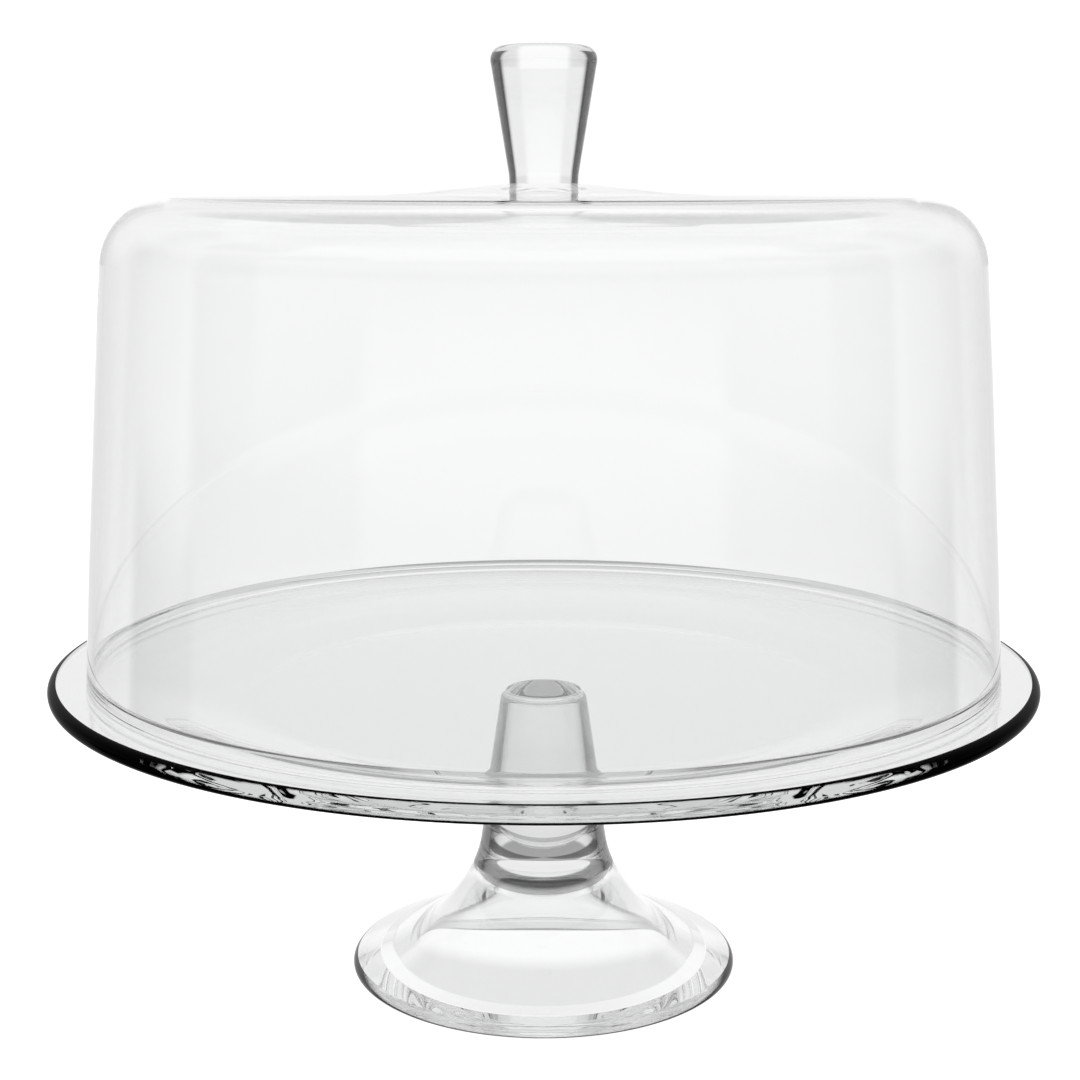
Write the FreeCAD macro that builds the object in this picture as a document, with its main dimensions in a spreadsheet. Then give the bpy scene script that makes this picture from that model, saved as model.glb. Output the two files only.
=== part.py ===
"""Footed glass cake stand with a lift-off glass dome. Millimetres, +Z up, origin under the foot's centre."""
import FreeCAD
import Part
import math
import os
import Sketcher

OUTPUT_FOLDER = "parts"
AXIS = "0"
GROUND = "0"
FULL_TURN = 360
ORIGIN_POINT = (-1, 1)
RADIAL_AXIS = -1
VERTICAL_AXIS = -2

# Every driving dimension, as the text of its spreadsheet cell.
DIMENSIONS = {
    # Pedestal: a solid neck on a flared foot with a hollow pressed into it.
    "pedestal_height": "90.1",
    "neck_top_radius": "14.2",
    "neck_top_round": "1.5",
    "flare_radius": "24.6",
    "flare_height": "21.3",
    "flare_round": "42",
    "foot_radius": "64.8",
    "foot_edge_height": "3.8",
    "foot_upper_round": "2.4",
    "foot_lower_round": "2",
    "hollow_mouth_radius": "53.2",
    "hollow_mouth_round": "1.2",
    "hollow_lip_radius": "49",
    "hollow_lip_height": "2",
    "hollow_lip_round": "4",
    "hollow_neck_radius": "16",
    "hollow_neck_height": "27.5",
    "hollow_neck_round": "6",
    "hollow_roof_radius": "12.5",
    "hollow_roof_height": "33.5",
    "hollow_roof_round": "5",
    # Fused joint between the pedestal and the plate.
    "pedestal_weld_radius": "12.8",
    "pedestal_weld_height": "1.5",
    "pedestal_weld_round": "0.6",
    # Plate: a flat ledge that carries the cover, easing down into a shallow well.
    "plate_radius": "161",
    "ledge_thickness": "5.6",
    "ledge_edge_round": "2.75",
    "ledge_inner_radius": "142",
    "ledge_inner_round": "75",
    "well_depth": "9.6",
    "well_floor_radius": "110",
    "well_floor_round": "90",
    "well_floor_thickness": "6",
    # Cover: a drafted, slightly bowed wall, a round shoulder and a low central mound.
    "cover_clearance": "0.1",
    "cover_foot_radius": "148.8",
    "cover_foot_round": "0.9",
    "cover_bead_thickness": "2.6",
    "cover_bead_height": "3.2",
    "cover_bead_taper": "1.4",
    "wall_thickness": "1.9",
    "wall_bow_radius": "144.8",
    "wall_bow_height": "66.5",
    "wall_bow_round": "3000",
    "shoulder_radius": "138.1",
    "shoulder_height": "150.6",
    "shoulder_round": "21.5",
    "top_thickness": "2.3",
    "mound_foot_radius": "44",
    "mound_foot_height": "151.5",
    "mound_foot_round": "150",
    "mound_top_height": "154.9",
    # Knob and the glass seam that fuses it to the cover.
    "knob_weld_radius": "12",
    "knob_weld_height": "2.4",
    "knob_base_radius": "11",
    "knob_waist_radius": "11.1",
    "knob_waist_height": "2.6",
    "knob_waist_round": "14",
    "knob_head_radius": "17.7",
    "knob_head_height": "42.7",
    "knob_head_round": "4.5",
    "knob_height": "43",
}

# Heights shared by several pieces, as expressions on the sheet.
WELD_BASE = "Dimensions.pedestal_height"
PLATE_BASE = WELD_BASE + " + Dimensions.pedestal_weld_height"
WELL_FLOOR = PLATE_BASE + " + Dimensions.well_floor_thickness"
LEDGE_TOP = WELL_FLOOR + " + Dimensions.well_depth"
LEDGE_BASE = LEDGE_TOP + " - Dimensions.ledge_thickness"
COVER_BASE = LEDGE_TOP + " + Dimensions.cover_clearance"
MOUND_TOP = COVER_BASE + " + Dimensions.mound_top_height"
SEAM_BASE = MOUND_TOP + " - Dimensions.knob_weld_height"


def make_sheet(doc):
    """Put the driving dimensions in a spreadsheet, one aliased row each."""
    sheet = doc.addObject("Spreadsheet::Sheet", "Dimensions")
    for row, (alias, text) in enumerate(DIMENSIONS.items(), start=1):
        sheet.set(f"A{row}", alias)
        sheet.set(f"B{row}", text)
        sheet.setAlias(f"B{row}", alias)
    doc.recompute()
    return sheet


def cell(name):
    """Expression that reads one dimension."""
    return "Dimensions." + name


def raised(base, name):
    """Expression for a dimension measured up from a base height."""
    return base + " + Dimensions." + name


def lowered(base, name):
    """Expression for a dimension measured down from a height or in from a radius."""
    return base + " - Dimensions." + name


def corner_points(before, corner, after, radius):
    """Tangent points and middle point of the arc that rounds a corner."""
    to_before = (before - corner).normalize()
    to_after = (after - corner).normalize()
    half_angle = to_before.getAngle(to_after) / 2
    reach = radius / math.tan(half_angle)
    bisector = (to_before + to_after).normalize()
    middle = corner + bisector * (radius / math.sin(half_angle) - radius)
    return corner + to_before * reach, middle, corner + to_after * reach


class Outline:
    """A closed half section drawn from corners, each sharp or rounded, all bound to the sheet."""

    def __init__(self, body, sheet, corners):
        self.sheet = sheet
        self.corners = corners
        self.constraints = []
        self.expressions = {}
        self.sketch = body.newObject("Sketcher::SketchObject", body.Name + "_section")
        plane = next(item for item in body.Origin.OriginFeatures if item.Role == "XZ_Plane")
        self.sketch.AttachmentSupport = [(plane, "")]
        self.sketch.MapMode = "FlatFace"
        self.draw()

    def value(self, expression):
        return float(self.sheet.evalExpression(expression))

    def hold(self, kind, *geometry):
        self.constraints.append(Sketcher.Constraint(kind, *geometry))

    def bind(self, kind, geometry, expression):
        """Add a dimension at its present value and note the expression that will drive it."""
        self.expressions[len(self.constraints)] = expression
        self.hold(kind, *geometry, self.value(expression))

    def draw(self):
        points = [FreeCAD.Vector(self.value(r), self.value(z), 0) for r, z, _ in self.corners]
        stops = [self.stop(points, index) for index in range(len(points))]
        lines = []
        for index, stop in enumerate(stops):
            following = stops[(index + 1) % len(stops)]
            lines.append(self.sketch.addGeometry(Part.LineSegment(stop[2], following[0])))
        for index, corner in enumerate(self.corners):
            if corner[2] is None:
                self.sharp_corner(lines[index - 1], lines[index], corner)
            else:
                self.round_corner(lines[index - 1], lines[index], corner, points[index], stops[index])
        self.sketch.addConstraint(self.constraints)
        for index, expression in self.expressions.items():
            self.sketch.setExpression(f"Constraints[{index}]", expression)

    def stop(self, points, index):
        """Where the outline leaves one line, passes its corner and joins the next."""
        rounding = self.corners[index][2]
        if rounding is None:
            return (points[index],) * 3
        following = points[(index + 1) % len(points)]
        return corner_points(points[index - 1], points[index], following, self.value(rounding))

    def place(self, geometry, position, corner):
        """Hold a point at a corner's radius and height."""
        radius, height, _ = corner
        if radius == AXIS:
            self.hold("PointOnObject", geometry, position, VERTICAL_AXIS)
        else:
            self.bind("DistanceX", (*ORIGIN_POINT, geometry, position), radius)
        if height == GROUND:
            self.hold("PointOnObject", geometry, position, RADIAL_AXIS)
        else:
            self.bind("DistanceY", (*ORIGIN_POINT, geometry, position), height)

    def sharp_corner(self, incoming, outgoing, corner):
        self.hold("Coincident", incoming, 2, outgoing, 1)
        self.place(outgoing, 1, corner)

    def round_corner(self, incoming, outgoing, corner, point, stop):
        turns_left = (stop[1] - stop[0]).cross(stop[2] - stop[1]).z > 0
        arc = self.sketch.addGeometry(Part.Arc(*stop) if turns_left else Part.Arc(*reversed(stop)))
        first, last = (1, 2) if turns_left else (2, 1)
        self.hold("Tangent", incoming, 2, arc, first)
        self.hold("Tangent", arc, last, outgoing, 1)
        self.bind("Radius", (arc,), corner[2])
        mark = self.sketch.addGeometry(Part.Point(point), True)
        self.hold("PointOnObject", mark, 1, incoming)
        self.hold("PointOnObject", mark, 1, outgoing)
        self.place(mark, 1, corner)


def turned_piece(doc, sheet, label, corners):
    """Body made by turning a half section a full turn about the vertical axis."""
    body = doc.addObject("PartDesign::Body", label)
    body.Label = label
    outline = Outline(body, sheet, corners)
    doc.recompute()
    turn = body.newObject("PartDesign::Revolution", label + "_turn")
    turn.Profile = outline.sketch
    turn.ReferenceAxis = (outline.sketch, ["V_Axis"])
    turn.Angle = FULL_TURN
    doc.recompute()
    return body


def pedestal(doc, sheet):
    """Solid neck flaring to a round foot, with a hollow open to the table."""
    return turned_piece(doc, sheet, "pedestal", [
        (AXIS, cell("hollow_roof_height"), None),
        (cell("hollow_roof_radius"), cell("hollow_roof_height"), cell("hollow_roof_round")),
        (cell("hollow_neck_radius"), cell("hollow_neck_height"), cell("hollow_neck_round")),
        (cell("hollow_lip_radius"), cell("hollow_lip_height"), cell("hollow_lip_round")),
        (cell("hollow_mouth_radius"), GROUND, cell("hollow_mouth_round")),
        (cell("foot_radius"), GROUND, cell("foot_lower_round")),
        (cell("foot_radius"), cell("foot_edge_height"), cell("foot_upper_round")),
        (cell("flare_radius"), cell("flare_height"), cell("flare_round")),
        (cell("neck_top_radius"), cell("pedestal_height"), cell("neck_top_round")),
        (AXIS, cell("pedestal_height"), None),
    ])


def pedestal_weld(doc, sheet):
    """Disc of fused glass between the pedestal's top and the plate's underside."""
    return turned_piece(doc, sheet, "pedestal_weld", [
        (AXIS, WELD_BASE, None),
        (cell("pedestal_weld_radius"), WELD_BASE, cell("pedestal_weld_round")),
        (cell("pedestal_weld_radius"), PLATE_BASE, cell("pedestal_weld_round")),
        (AXIS, PLATE_BASE, None),
    ])


def plate(doc, sheet):
    """Serving plate with a shallow well, a flat ledge and a fully rounded edge."""
    edge_round = cell("ledge_edge_round")
    return turned_piece(doc, sheet, "plate", [
        (AXIS, PLATE_BASE, None),
        (cell("well_floor_radius"), PLATE_BASE, cell("well_floor_round")),
        (cell("ledge_inner_radius"), LEDGE_BASE, cell("ledge_inner_round")),
        (cell("plate_radius"), LEDGE_BASE, edge_round),
        (cell("plate_radius"), LEDGE_TOP, edge_round),
        (cell("ledge_inner_radius"), LEDGE_TOP, cell("ledge_inner_round")),
        (cell("well_floor_radius"), WELL_FLOOR, cell("well_floor_round")),
        (AXIS, WELL_FLOOR, None),
    ])


def dome_shell(doc, sheet):
    """Thin bell: bead, drafted wall, shoulder and top, open at the bottom."""
    foot = cell("cover_foot_radius")
    bow_height = raised(COVER_BASE, "wall_bow_height")
    shoulder_top = raised(COVER_BASE, "shoulder_height")
    mound_foot = raised(COVER_BASE, "mound_foot_height")
    bead_top = raised(COVER_BASE, "cover_bead_height")
    inner_shoulder_round = lowered(cell("shoulder_round"), "wall_thickness")
    return turned_piece(doc, sheet, "dome_shell", [
        (foot, COVER_BASE, cell("cover_foot_round")),
        (cell("wall_bow_radius"), bow_height, cell("wall_bow_round")),
        (cell("shoulder_radius"), shoulder_top, cell("shoulder_round")),
        (cell("mound_foot_radius"), mound_foot, cell("mound_foot_round")),
        (cell("knob_weld_radius"), MOUND_TOP, None),
        (cell("knob_weld_radius"), SEAM_BASE, None),
        (AXIS, SEAM_BASE, None),
        (AXIS, lowered(mound_foot, "top_thickness"), None),
        (lowered(cell("shoulder_radius"), "wall_thickness"), lowered(shoulder_top, "top_thickness"),
         inner_shoulder_round),
        (lowered(cell("wall_bow_radius"), "wall_thickness"), bow_height, cell("wall_bow_round")),
        (lowered(foot, "wall_thickness"), raised(bead_top, "cover_bead_taper"), None),
        (lowered(foot, "cover_bead_thickness"), bead_top, None),
        (lowered(foot, "cover_bead_thickness"), COVER_BASE, cell("cover_foot_round")),
    ])


def knob_weld(doc, sheet):
    """Seam of fused glass let into the mound under the knob."""
    return turned_piece(doc, sheet, "knob_weld", [
        (AXIS, SEAM_BASE, None),
        (cell("knob_weld_radius"), SEAM_BASE, None),
        (cell("knob_weld_radius"), MOUND_TOP, None),
        (AXIS, MOUND_TOP, None),
    ])


def knob(doc, sheet):
    """Solid tapered finger knob, widest near its rounded top."""
    return turned_piece(doc, sheet, "knob", [
        (AXIS, MOUND_TOP, None),
        (cell("knob_base_radius"), MOUND_TOP, None),
        (cell("knob_waist_radius"), raised(MOUND_TOP, "knob_waist_height"), cell("knob_waist_round")),
        (cell("knob_head_radius"), raised(MOUND_TOP, "knob_head_height"), cell("knob_head_round")),
        (AXIS, raised(MOUND_TOP, "knob_height"), None),
    ])


def check_document(doc, bodies):
    """Stop if any object failed or any piece is not one valid solid."""
    for item in doc.Objects:
        if "Invalid" in item.State or "Error" in item.State:
            raise RuntimeError(f"{item.Label} failed: {item.State}")
    for body in bodies:
        shape = body.Shape
        if shape.isNull() or not shape.isValid() or len(shape.Solids) != 1:
            raise RuntimeError(f"{body.Label} is not one valid solid")


def main():
    doc = FreeCAD.newDocument("cake_stand")
    sheet = make_sheet(doc)
    makers = (pedestal, pedestal_weld, plate, dome_shell, knob_weld, knob)
    bodies = [maker(doc, sheet) for maker in makers]
    doc.recompute()
    check_document(doc, bodies)
    os.makedirs(OUTPUT_FOLDER, exist_ok=True)
    for body in bodies:
        body.Shape.exportStep(os.path.join(OUTPUT_FOLDER, body.Label + ".step"))
        box = body.Shape.optimalBoundingBox()
        print(f"{body.Label}: z {box.ZMin:.2f}..{box.ZMax:.2f}, radius {box.XMax:.2f}, {body.Shape.Volume:.0f} mm3")


main()
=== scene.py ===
import math

import bpy
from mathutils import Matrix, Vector


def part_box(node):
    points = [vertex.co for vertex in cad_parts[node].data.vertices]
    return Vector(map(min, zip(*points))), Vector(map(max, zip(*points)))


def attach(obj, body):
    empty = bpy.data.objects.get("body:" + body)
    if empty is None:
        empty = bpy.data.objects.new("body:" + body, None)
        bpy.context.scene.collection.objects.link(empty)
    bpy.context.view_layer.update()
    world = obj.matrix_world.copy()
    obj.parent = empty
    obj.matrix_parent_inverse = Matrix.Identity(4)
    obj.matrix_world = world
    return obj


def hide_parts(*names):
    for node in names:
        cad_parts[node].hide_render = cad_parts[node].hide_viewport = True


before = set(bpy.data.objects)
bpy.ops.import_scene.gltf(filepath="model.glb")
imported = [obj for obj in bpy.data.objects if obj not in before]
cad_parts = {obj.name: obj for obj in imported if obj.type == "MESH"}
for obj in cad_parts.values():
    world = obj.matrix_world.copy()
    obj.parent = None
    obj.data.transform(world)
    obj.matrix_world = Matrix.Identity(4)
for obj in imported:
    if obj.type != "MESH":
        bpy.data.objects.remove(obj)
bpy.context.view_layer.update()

turnSteps = 320
degreesPerFacet = 2.5
smoothDegrees = 35
weldDistance = 0.000002
faceSlack = 0.00001
flatFacing = 0.99

# heights and radii that the pieces share, read from the frame
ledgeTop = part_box("plate")[1].z
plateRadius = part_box("plate")[1].x
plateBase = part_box("plate")[0].z
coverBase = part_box("dome_shell")[0].z
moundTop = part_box("dome_shell")[1].z
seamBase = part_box("knob_weld")[0].z
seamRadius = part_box("knob_weld")[1].x
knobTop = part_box("knob")[1].z
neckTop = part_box("pedestal")[1].z
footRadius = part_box("pedestal")[1].x


# modelling helpers

def startOutline(name, first):
    bpy.ops.object.select_all(action="DESELECT")
    bpy.ops.mesh.primitive_plane_add(size=0.002)
    piece = bpy.context.object
    piece.name = piece.data.name = name
    bpy.ops.object.mode_set(mode="EDIT")
    bpy.ops.mesh.select_all(action="SELECT")
    bpy.ops.mesh.merge(type="CENTER")
    bpy.ops.transform.translate(value=(first[0], 0, first[1]))
    return piece


def selectPoint(piece, point):
    bpy.ops.mesh.select_all(action="DESELECT")
    bpy.ops.object.mode_set(mode="OBJECT")
    place = Vector((point[0], 0, point[1]))
    nearest = min(piece.data.vertices, key=lambda vertex: (vertex.co - place).length)
    nearest.select = True
    bpy.ops.object.mode_set(mode="EDIT")


def roundCorner(piece, before, corner, after, radius):
    toBefore = (Vector(before[:2]) - Vector(corner[:2])).normalized()
    toAfter = (Vector(after[:2]) - Vector(corner[:2])).normalized()
    turn = math.pi - toBefore.angle(toAfter)
    facets = max(4, round(math.degrees(turn) / degreesPerFacet))
    selectPoint(piece, corner)
    setback = radius * math.tan(turn / 2)
    bpy.ops.mesh.bevel(offset=setback, segments=facets, profile=0.5, affect="VERTICES")


def drawOutline(name, corners):
    # extrude a vertex from corner to corner, then bevel the corners that are round
    piece = startOutline(name, corners[0])
    for previous, corner in zip(corners, corners[1:]):
        step = (corner[0] - previous[0], 0, corner[1] - previous[1])
        bpy.ops.mesh.extrude_region_move(TRANSFORM_OT_translate={"value": step})
    for before, corner, after in zip(corners, corners[1:], corners[2:]):
        if corner[2] > 0:
            roundCorner(piece, before, corner, after, corner[2])
    return piece


def turnPiece(name, corners):
    # turn the half section once round the axis
    piece = drawOutline(name, corners)
    bpy.ops.object.mode_set(mode="OBJECT")
    bpy.ops.object.modifier_add(type="SCREW")
    turn = piece.modifiers[-1]
    turn.steps = turn.render_steps = turnSteps
    turn.use_merge_vertices = True
    turn.merge_threshold = weldDistance
    bpy.ops.object.modifier_apply(modifier=turn.name)
    bpy.ops.object.mode_set(mode="EDIT")
    bpy.ops.mesh.select_all(action="SELECT")
    bpy.ops.mesh.remove_doubles(threshold=weldDistance)
    bpy.ops.mesh.normals_make_consistent(inside=False)
    bpy.ops.object.mode_set(mode="OBJECT")
    bpy.ops.object.shade_smooth_by_angle(angle=math.radians(smoothDegrees))
    evenOut = piece.modifiers.new("evenNormals", "WEIGHTED_NORMAL")
    evenOut.keep_sharp = True
    bpy.ops.object.modifier_apply(modifier=evenOut.name)
    return piece


def assignFaces(piece, *choices):
    # each choice names a material slot and says which faces wear it
    for face in piece.data.polygons:
        for index, wears in choices:
            if wears(face.center, face.normal):
                face.material_index = index


def finishPiece(piece, body, node, slot, *worn):
    for material in worn:
        piece.data.materials.append(glasses[material])
    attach(piece, body)
    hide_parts(node)


# materials

def setInputs(node, values):
    for socket, amount in values.items():
        node.inputs[socket].default_value = amount


def makeFlowGroup():
    # gentle ripples and a few seeds in the surface, with faint handling smears
    group = bpy.data.node_groups.new("glassFlow", "ShaderNodeTree")
    for socket in pressedFlow:
        group.interface.new_socket(socket, in_out="INPUT", socket_type="NodeSocketFloat")
    group.interface.new_socket("Normal", in_out="OUTPUT", socket_type="NodeSocketVector")
    group.interface.new_socket("Roughness", in_out="OUTPUT", socket_type="NodeSocketFloat")
    nodes, links = group.nodes, group.links
    given = nodes.new("NodeGroupInput")
    shown = nodes.new("NodeGroupOutput")
    place = nodes.new("ShaderNodeTexCoord")
    ripple = nodes.new("ShaderNodeTexNoise")
    setInputs(ripple, {"Detail": 1.0})
    seeds = nodes.new("ShaderNodeTexVoronoi")
    setInputs(seeds, {"Randomness": 1.0})
    seedDots = nodes.new("ShaderNodeMapRange")
    setInputs(seedDots, {"From Min": 0.0, "From Max": 0.06, "To Min": 1.0, "To Max": 0.0})
    rippleBump = nodes.new("ShaderNodeBump")
    setInputs(rippleBump, {"Distance": 0.001})
    seedBump = nodes.new("ShaderNodeBump")
    setInputs(seedBump, {"Distance": 0.0004})
    smears = nodes.new("ShaderNodeTexNoise")
    setInputs(smears, {"Scale": 9.0, "Detail": 4.0})
    smearMask = nodes.new("ShaderNodeMapRange")
    setInputs(smearMask, {"From Min": 0.55, "From Max": 0.75})
    for texture in (ripple, seeds, smears):
        links.new(place.outputs["Object"], texture.inputs["Vector"])
    links.new(given.outputs["Ripple Scale"], ripple.inputs["Scale"])
    links.new(given.outputs["Seed Scale"], seeds.inputs["Scale"])
    links.new(ripple.outputs["Fac"], rippleBump.inputs["Height"])
    links.new(given.outputs["Ripple Height"], rippleBump.inputs["Strength"])
    links.new(seeds.outputs["Distance"], seedDots.inputs["Value"])
    links.new(seedDots.outputs["Result"], seedBump.inputs["Height"])
    links.new(given.outputs["Seed Height"], seedBump.inputs["Strength"])
    links.new(rippleBump.outputs["Normal"], seedBump.inputs["Normal"])
    links.new(seedBump.outputs["Normal"], shown.inputs["Normal"])
    links.new(smears.outputs["Fac"], smearMask.inputs["Value"])
    links.new(given.outputs["Smear"], smearMask.inputs["To Max"])
    links.new(smearMask.outputs["Result"], shown.inputs["Roughness"])
    return group


def makeGlass(name, look):
    glass = bpy.data.materials.new(name)
    glass.use_nodes = True
    nodes, links = glass.node_tree.nodes, glass.node_tree.links
    shader = nodes["Principled BSDF"]
    setInputs(shader, {"Base Color": (*look["tint"], 1), "IOR": look["ior"],
                       "Transmission Weight": look.get("clearness", 1.0)})
    flow = nodes.new("ShaderNodeGroup")
    flow.node_tree = flowGroup
    setInputs(flow, look["flow"])
    links.new(flow.outputs["Normal"], shader.inputs["Normal"])
    links.new(flow.outputs["Roughness"], shader.inputs["Roughness"])
    # an edge entry paints shade: its tint goes dark where the surface turns away from the view
    if "edge" in look:
        paintEdgeShade(nodes, links, shader, look)
    # a shade entry paints shade: the tint goes dark towards the hollow's roof
    if "shade" in look:
        paintRoofShade(nodes, links, shader, look)
    return glass


def mixTint(nodes, links, shader, value, limits, look, far):
    # the tint goes from the glass's own to the far one as the value crosses the limits
    ease = nodes.new("ShaderNodeMapRange")
    ease.interpolation_type = "SMOOTHSTEP"
    ease.inputs["From Min"].default_value, ease.inputs["From Max"].default_value = limits
    blend = nodes.new("ShaderNodeMix")
    blend.data_type = "RGBA"
    blend.inputs["A"].default_value = (*look["tint"], 1)
    blend.inputs["B"].default_value = (*far, 1)
    links.new(value, ease.inputs["Value"])
    links.new(ease.outputs["Result"], blend.inputs["Factor"])
    links.new(blend.outputs["Result"], shader.inputs["Base Color"])


def paintEdgeShade(nodes, links, shader, look):
    # painted shade: the tint goes dark where the surface turns away from the view, drawing dark outlines
    # along the glass
    turned = nodes.new("ShaderNodeLayerWeight")
    turned.inputs["Blend"].default_value = 0.5
    edge = look["edge"]
    mixTint(nodes, links, shader, turned.outputs["Facing"], edge["turned"], look, edge["tint"])


def paintRoofShade(nodes, links, shader, look):
    # painted shade: the pressed hollow's glass gets darker towards its roof
    place = nodes.new("ShaderNodeTexCoord")
    parts = nodes.new("ShaderNodeSeparateXYZ")
    links.new(place.outputs["Object"], parts.inputs["Vector"])
    shade = look["shade"]
    mixTint(nodes, links, shader, parts.outputs["Z"], shade["heights"], look, shade["tint"])


def makeFusedGlass():
    # where two pieces are melted together there is no surface to see
    fused = bpy.data.materials.new("fusedGlass")
    fused.use_nodes = True
    shader = fused.node_tree.nodes["Principled BSDF"]
    setInputs(shader, {"IOR": 1.0, "Transmission Weight": 1.0, "Alpha": 0.0})
    return fused


pressedFlow = {"Ripple Scale": 22.0, "Ripple Height": 0.03,
               "Seed Scale": 60.0, "Seed Height": 0.02, "Smear": 0.02}
blownFlow = {"Ripple Scale": 14.0, "Ripple Height": 0.03,
             "Seed Scale": 60.0, "Seed Height": 0.0, "Smear": 0.02}
pressedTint = (0.985, 0.99, 0.99)
glassLooks = {
    "pressedGlass": {"tint": pressedTint, "ior": 1.52, "flow": pressedFlow},
    "blownGlass": {"tint": (0.99, 0.993, 0.993), "ior": 1.52, "flow": blownFlow},
    # the edge entries below are painted shade: dark outlines where the surface turns away from the view
    "knobGlass": {"tint": pressedTint, "ior": 1.52, "flow": pressedFlow,
                  "edge": {"turned": (0.33, 0.44), "tint": (0.02, 0.02, 0.02)}},
    # painted shade on the plate's rim: a grey tint that goes black where the surface turns away
    "edgeGlass": {"tint": (0.75, 0.76, 0.76), "ior": 1.05, "flow": pressedFlow,
                  "edge": {"turned": (0.27, 0.4), "tint": (0.0, 0.0, 0.0)}},
    "footEdgeGlass": {"tint": pressedTint, "ior": 1.52, "flow": pressedFlow,
                      "edge": {"turned": (0.4, 0.55), "tint": (0.0, 0.0, 0.0)}},
    # painted shade: the plate's glass is tinted greyer than the other glass, for the grey its top shows
    "plateGlass": {"tint": (0.86, 0.865, 0.865), "ior": 1.52, "flow": pressedFlow},
    "neckGlass": {"tint": pressedTint, "ior": 1.52, "flow": pressedFlow,
                  "edge": {"turned": (0.22, 0.5), "tint": (0.08, 0.08, 0.08)}},
    "hollowGlass": {"tint": pressedTint, "ior": 1.52, "flow": pressedFlow,
                    "edge": {"turned": (0.68, 0.85), "tint": (0.05, 0.05, 0.05)}},
    # painted shade: partly opaque glass that goes dark towards the hollow's roof
    "shadedGlass": {"tint": pressedTint, "ior": 1.52, "clearness": 0.35, "flow": pressedFlow,
                    "shade": {"heights": (0.029, 0.031), "tint": (0.03, 0.03, 0.03)}},
}
flowGroup = makeFlowGroup()
glasses = {name: makeGlass(name, look) for name, look in glassLooks.items()}
glasses["fusedGlass"] = makeFusedGlass()
print("materials made")


# pedestal: solid neck, flared foot, pressed hollow

pedestalShape = {
    "neckTopRadius": 0.0142, "neckTopRound": 0.0015, "neckStart": 0.036,
    "flare": (0.0246, 0.0213), "flareRound": 0.042,
    "footEdge": 0.0038, "footUpperRound": 0.0024, "footLowerRound": 0.002,
    "hollowMouth": 0.0532, "hollowMouthRound": 0.0012,
    "hollowLip": (0.049, 0.002), "hollowLipRound": 0.004,
    "hollowNeck": (0.016, 0.0275), "hollowNeckRound": 0.006,
    "hollowRoof": (0.0125, 0.0335), "hollowRoofRound": 0.005, "roofGap": 0.0001,
    "facing": {"footEdge": 0.95, "hollow": -0.1, "shade": -0.3, "neck": 0.9},
}


def makePedestal(shape):
    pedestal = turnPiece("pedestalGlass", [
        (0, shape["hollowRoof"][1], 0),
        (*shape["hollowRoof"], shape["hollowRoofRound"]),
        (*shape["hollowNeck"], shape["hollowNeckRound"]),
        (*shape["hollowLip"], shape["hollowLipRound"]),
        (shape["hollowMouth"], 0, shape["hollowMouthRound"]),
        (footRadius, 0, shape["footLowerRound"]),
        (footRadius, shape["footEdge"], shape["footUpperRound"]),
        (*shape["flare"], shape["flareRound"]),
        (shape["neckTopRadius"], neckTop, shape["neckTopRound"]),
        (0, neckTop, 0),
    ])
    edgeStart = footRadius - shape["footUpperRound"]
    shadeTop = shape["hollowRoof"][1] - shape["roofGap"]
    shadeBase = shape["hollowRoof"][1] - shape["hollowRoofRound"]
    facing = shape["facing"]
    # slots 2 to 5 carry painted shade: dark outlines on the foot edge, neck and hollow, and a dark band
    # under the hollow's roof
    assignFaces(
        pedestal,
        (1, lambda centre, normal: centre.z > neckTop - faceSlack and normal.z > flatFacing),
        (2, lambda centre, normal: centre.xy.length > edgeStart and abs(normal.z) < facing["footEdge"]),
        (5, lambda centre, normal: (centre.xy.length < shape["hollowMouth"]
                                    and -flatFacing < normal.z < facing["hollow"])),
        (3, lambda centre, normal: shadeBase < centre.z < shadeTop and normal.z < facing["shade"]),
        (4, lambda centre, normal: shape["neckStart"] < centre.z and abs(normal.z) < facing["neck"]))
    finishPiece(pedestal, "stand", "pedestal", "clear_glass",
                "pressedGlass", "fusedGlass", "footEdgeGlass", "shadedGlass", "neckGlass", "hollowGlass")


makePedestal(pedestalShape)


# fused disc between neck and plate

stemWeldShape = {"radius": 0.0128, "edgeRound": 0.0006}


def makeStemWeld(shape):
    weld = turnPiece("stemWeldGlass", [
        (0, neckTop, 0),
        (shape["radius"], neckTop, shape["edgeRound"]),
        (shape["radius"], plateBase, shape["edgeRound"]),
        (0, plateBase, 0),
    ])
    assignFaces(weld, (1, lambda centre, normal: abs(normal.z) > flatFacing))
    finishPiece(weld, "stand", "pedestal_weld", "clear_glass", "pressedGlass", "fusedGlass")


makeStemWeld(stemWeldShape)


# plate: flat ledge, rounded edge, shallow well

plateShape = {
    "ledgeThickness": 0.0056, "edgeRound": 0.00275, "darkEdge": 0.0029,
    "ledgeInner": 0.142, "ledgeInnerRound": 0.075,
    "floorThickness": 0.006, "floorRadius": 0.110, "floorRound": 0.090,
}


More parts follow.
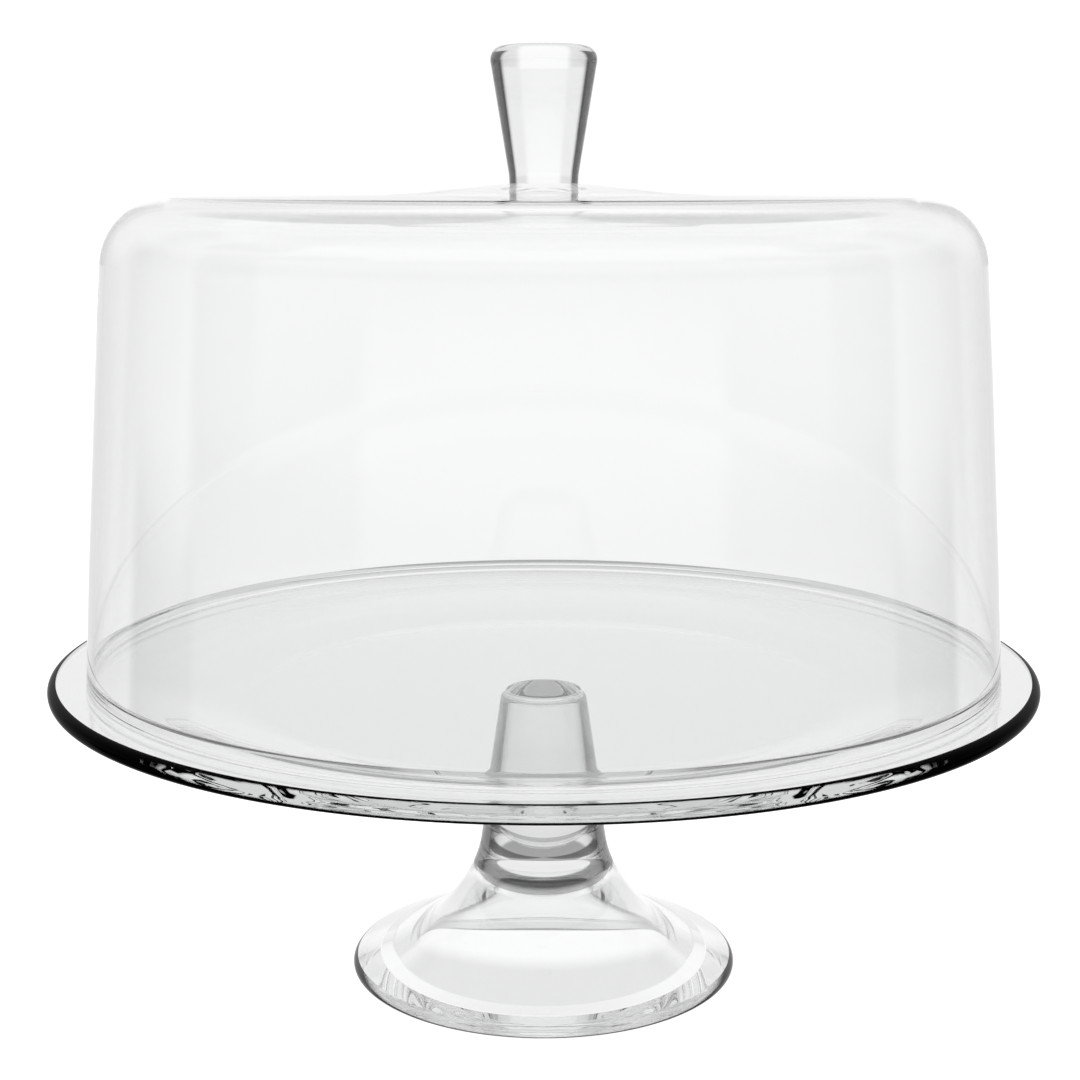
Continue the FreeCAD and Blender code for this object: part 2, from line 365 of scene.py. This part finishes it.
def makePlate(shape):
    ledgeBase = ledgeTop - shape["ledgeThickness"]
    wellFloor = plateBase + shape["floorThickness"]
    jointRadius = stemWeldShape["radius"] - stemWeldShape["edgeRound"]
    plate = turnPiece("plateGlass", [
        (0, plateBase, 0),
        (jointRadius, plateBase, 0),
        (shape["floorRadius"], plateBase, shape["floorRound"]),
        (shape["ledgeInner"], ledgeBase, shape["ledgeInnerRound"]),
        (plateRadius, ledgeBase, shape["edgeRound"]),
        (plateRadius, ledgeTop, shape["edgeRound"]),
        (shape["ledgeInner"], ledgeTop, shape["ledgeInnerRound"]),
        (shape["floorRadius"], wellFloor, shape["floorRound"]),
        (0, wellFloor, 0),
    ])
    # the rim faces past darkEdge wear edgeGlass, which carries painted shade
    assignFaces(
        plate,
        (1, lambda centre, normal: centre.z < plateBase + faceSlack and centre.xy.length < jointRadius),
        (2, lambda centre, normal: centre.xy.length > plateRadius - shape["darkEdge"]))
    finishPiece(plate, "stand", "plate", "clear_glass", "plateGlass", "fusedGlass", "edgeGlass")


makePlate(plateShape)
print("stand made")


# cover: rim bead, drafted wall, shoulder, crowned top

coverShape = {
    "footRadius": 0.1488, "footRound": 0.0009,
    "beadThickness": 0.0026, "beadHeight": 0.0032, "beadTaper": 0.0014, "beadRound": 0.0004,
    "wallThickness": 0.0019,
    "bow": (0.1448, 0.0665), "bowRound": 3.0,
    "shoulder": (0.1381, 0.1506), "shoulderRound": 0.0215,
    "topThickness": 0.0023,
    "moundFoot": (0.044, 0.1515), "moundFootRound": 0.15,
}


def makeCover(shape):
    bowHeight = coverBase + shape["bow"][1]
    shoulderTop = coverBase + shape["shoulder"][1]
    moundFoot = coverBase + shape["moundFoot"][1]
    beadTop = coverBase + shape["beadHeight"]
    wall = shape["wallThickness"]
    cover = turnPiece("coverGlass", [
        (0, seamBase, 0),
        (seamRadius, seamBase, 0),
        (seamRadius, moundTop, 0),
        (shape["moundFoot"][0], moundFoot, shape["moundFootRound"]),
        (shape["shoulder"][0], shoulderTop, shape["shoulderRound"]),
        (shape["bow"][0], bowHeight, shape["bowRound"]),
        (shape["footRadius"], coverBase, shape["footRound"]),
        (shape["footRadius"] - shape["beadThickness"], coverBase, shape["footRound"]),
        (shape["footRadius"] - shape["beadThickness"], beadTop, shape["beadRound"]),
        (shape["footRadius"] - wall, beadTop + shape["beadTaper"], shape["beadRound"]),
        (shape["bow"][0] - wall, bowHeight, shape["bowRound"]),
        (shape["shoulder"][0] - wall, shoulderTop - shape["topThickness"], shape["shoulderRound"] - wall),
        (0, moundFoot - shape["topThickness"], 0),
    ])
    seamEdge = seamRadius + faceSlack
    assignFaces(
        cover,
        (1, lambda centre, normal: centre.z > seamBase - faceSlack and centre.xy.length < seamEdge))
    finishPiece(cover, "cover", "dome_shell", "cover_glass", "blownGlass", "fusedGlass")


makeCover(coverShape)


# seam under the knob

seamShape = {"innerRadius": 0.011, "crownFacing": 0.5}


def makeKnobSeam(shape):
    seam = turnPiece("knobSeamGlass", [
        (0, seamBase, 0),
        (seamRadius, seamBase, 0),
        (seamRadius, moundTop, 0),
        (shape["innerRadius"], moundTop, 0),
        (0, moundTop, 0),
    ])
    assignFaces(
        seam,
        (1, lambda centre, normal: (normal.z < shape["crownFacing"]
                                    or centre.xy.length < shape["innerRadius"])))
    finishPiece(seam, "cover", "knob_weld", "cover_glass", "blownGlass", "fusedGlass")


makeKnobSeam(seamShape)


# knob: solid, tapered, round head

knobShape = {
    "baseRadius": 0.011,
    "waist": (0.0111, 0.0026), "waistRound": 0.014,
    "head": (0.0177, 0.0427), "headRound": 0.0045, "topFacing": 0.45,
}


def makeKnob(shape):
    knob = turnPiece("knobGlass", [
        (0, moundTop, 0),
        (shape["baseRadius"], moundTop, 0),
        (shape["waist"][0], moundTop + shape["waist"][1], shape["waistRound"]),
        (shape["head"][0], moundTop + shape["head"][1], shape["headRound"]),
        (0, knobTop, 0),
    ])
    # the knob's sides wear knobGlass, with painted shade along its outlines; its top wears pressedGlass
    assignFaces(
        knob,
        (1, lambda centre, normal: centre.z < moundTop + faceSlack),
        (2, lambda centre, normal: normal.z > shape["topFacing"]))
    finishPiece(knob, "cover", "knob", "clear_glass", "knobGlass", "fusedGlass", "pressedGlass")


makeKnob(knobShape)
print("cover made")


# floor, light and camera

studio = {
    "floorSize": 60.0, "floorPaleness": 0.5, "floorGlow": 0.9, "skyStrength": 1.04,
    "cameraPlace": (-0.0012, -0.638, 0.2638), "cameraDrop": 10.427, "lens": 65.53,
    "sensorWidth": 36, "clipEnd": 100, "tentRadius": 20.0, "tentBase": 0.78, "lightBounces": 32,
}

# panels of the light tent: across and up are ranges in degrees, seen from the object
# across counts from behind it
tentPanels = {
    "roof": {"across": (-10, 190), "up": (38, 100), "glow": 1.05, "blur": 5},
    "eaves": {"across": (-10, 190), "up": (22, 38), "glow": 0.8, "blur": 6},
    "eavesBehind": {"across": (-10, 60), "up": (20, 40), "glow": 0.87, "blur": 6},
    "ground": {"across": (-10, 190), "up": (-100, -50), "glow": 0.35, "blur": 6},
    "groundSides": {"across": (50, 90), "up": (-100, -26), "glow": 0.1, "blur": 6},
    "lowSides": {"across": (32, 125), "up": (-20, 1), "glow": 0.7, "blur": 14},
    "deepSides": {"across": (62, 125), "up": (-22, -4), "glow": 0.1, "blur": 6},
    "highSides": {"across": (50, 88), "up": (1, 21), "glow": 0.5, "blur": 24},
    "highFront": {"across": (88, 190), "up": (7, 21), "glow": 0.52, "blur": 4},
    "lowFront": {"across": (88, 190), "up": (-12, -1), "glow": 0.4, "blur": 4},
    "floorBehind": {"across": (-20, 40), "up": (-50, -22), "glow": 0.8, "blur": 12},
    "highBehind": {"across": (-10, 46), "up": (8, 23), "glow": 0.87, "blur": 6},
    "backdrop": {"across": (-10, 20), "up": (-25, 13), "glow": 1.0, "blur": 8},
}


def makePlain(name, colour, roughness, glow):
    plain = bpy.data.materials.new(name)
    plain.use_nodes = True
    shader = plain.node_tree.nodes["Principled BSDF"]
    setInputs(shader, {"Base Color": (*colour, 1), "Roughness": roughness, "Specular IOR Level": 0.0,
                       "Emission Color": (1, 1, 1, 1), "Emission Strength": glow})
    return plain


def makeFloor():
    bpy.ops.object.select_all(action="DESELECT")
    bpy.ops.mesh.primitive_plane_add(size=studio["floorSize"])
    floor = bpy.context.object
    floor.name = "studioFloor"
    pale = (studio["floorPaleness"],) * 3
    floor.data.materials.append(makePlain("paleFloor", pale, 1.0, studio["floorGlow"]))
    floor.visible_transmission = False
    floor.visible_glossy = False


def makeCamera():
    bpy.ops.object.camera_add(location=studio["cameraPlace"],
                              rotation=(math.radians(90 - studio["cameraDrop"]), 0, 0))
    camera = bpy.context.object
    camera.data.lens = studio["lens"]
    camera.data.sensor_width = studio["sensorWidth"]
    camera.data.clip_end = studio["clipEnd"]
    bpy.context.scene.camera = camera
    return camera


def addMath(nodes, links, operation, first, second=None):
    step = nodes.new("ShaderNodeMath")
    step.operation = operation
    for socket, given in zip(step.inputs, (first, second)):
        if isinstance(given, (int, float)):
            socket.default_value = given
        elif given is not None:
            links.new(given, socket)
    return step.outputs[0]


def addBand(nodes, links, angle, limits, blur):
    # 1 inside the limits, easing to 0 across the blur
    half = blur / 2
    sides = []
    for start, end in ((limits[0] - half, limits[0] + half), (limits[1] + half, limits[1] - half)):
        edge = nodes.new("ShaderNodeMapRange")
        edge.interpolation_type = "SMOOTHSTEP"
        setInputs(edge, {"From Min": math.radians(start), "From Max": math.radians(end)})
        links.new(angle, edge.inputs["Value"])
        sides.append(edge.outputs["Result"])
    return addMath(nodes, links, "MULTIPLY", *sides)


def makeTentCloth():
    cloth = bpy.data.materials.new("tentCloth")
    cloth.use_nodes = True
    nodes, links = cloth.node_tree.nodes, cloth.node_tree.links
    nodes.clear()
    place = nodes.new("ShaderNodeTexCoord")
    toward = nodes.new("ShaderNodeVectorMath")
    toward.operation = "NORMALIZE"
    links.new(place.outputs["Object"], toward.inputs[0])
    parts = nodes.new("ShaderNodeSeparateXYZ")
    links.new(toward.outputs["Vector"], parts.inputs["Vector"])
    sideways = addMath(nodes, links, "ABSOLUTE", parts.outputs["X"])
    across = addMath(nodes, links, "ARCTAN2", sideways, parts.outputs["Y"])
    up = addMath(nodes, links, "ARCSINE", parts.outputs["Z"])
    glow = studio["tentBase"]
    for panel in tentPanels.values():
        acrossBand = addBand(nodes, links, across, panel["across"], panel["blur"])
        upBand = addBand(nodes, links, up, panel["up"], panel["blur"])
        mask = addMath(nodes, links, "MULTIPLY", acrossBand, upBand)
        blend = nodes.new("ShaderNodeMix")
        links.new(mask, blend.inputs["Factor"])
        if isinstance(glow, float):
            blend.inputs["A"].default_value = glow
        else:
            links.new(glow, blend.inputs["A"])
        blend.inputs["B"].default_value = panel["glow"]
        glow = blend.outputs["Result"]
    light = nodes.new("ShaderNodeEmission")
    shown = nodes.new("ShaderNodeOutputMaterial")
    links.new(glow, light.inputs["Strength"])
    links.new(light.outputs["Emission"], shown.inputs["Surface"])
    cloth.cycles.emission_sampling = "NONE"
    return cloth


def makeTent(camera):
    # light tent that the glass mirrors and bends; it goes where the camera goes, so every side is lit alike
    bpy.ops.object.select_all(action="DESELECT")
    bpy.ops.mesh.primitive_uv_sphere_add(segments=48, ring_count=24, radius=studio["tentRadius"])
    tent = bpy.context.object
    tent.name = "lightTent"
    tent.data.materials.append(makeTentCloth())
    bpy.context.view_layer.update()
    tent.parent = camera
    tent.matrix_parent_inverse = camera.matrix_world.inverted()
    tent.visible_camera = False
    tent.visible_diffuse = False
    tent.visible_shadow = False


makeFloor()
camera = makeCamera()
makeTent(camera)

world = bpy.data.worlds.new("studioSky")
bpy.context.scene.world = world
world.use_nodes = True
sky = world.node_tree.nodes["Background"]
setInputs(sky, {"Color": (1, 1, 1, 1), "Strength": studio["skyStrength"]})

scene = bpy.context.scene
scene.view_settings.view_transform = "Standard"
scene.cycles.max_bounces = studio["lightBounces"]
scene.cycles.transmission_bounces = studio["lightBounces"]
scene.cycles.glossy_bounces = studio["lightBounces"]
scene.cycles.transparent_max_bounces = studio["lightBounces"]
print("studio made")
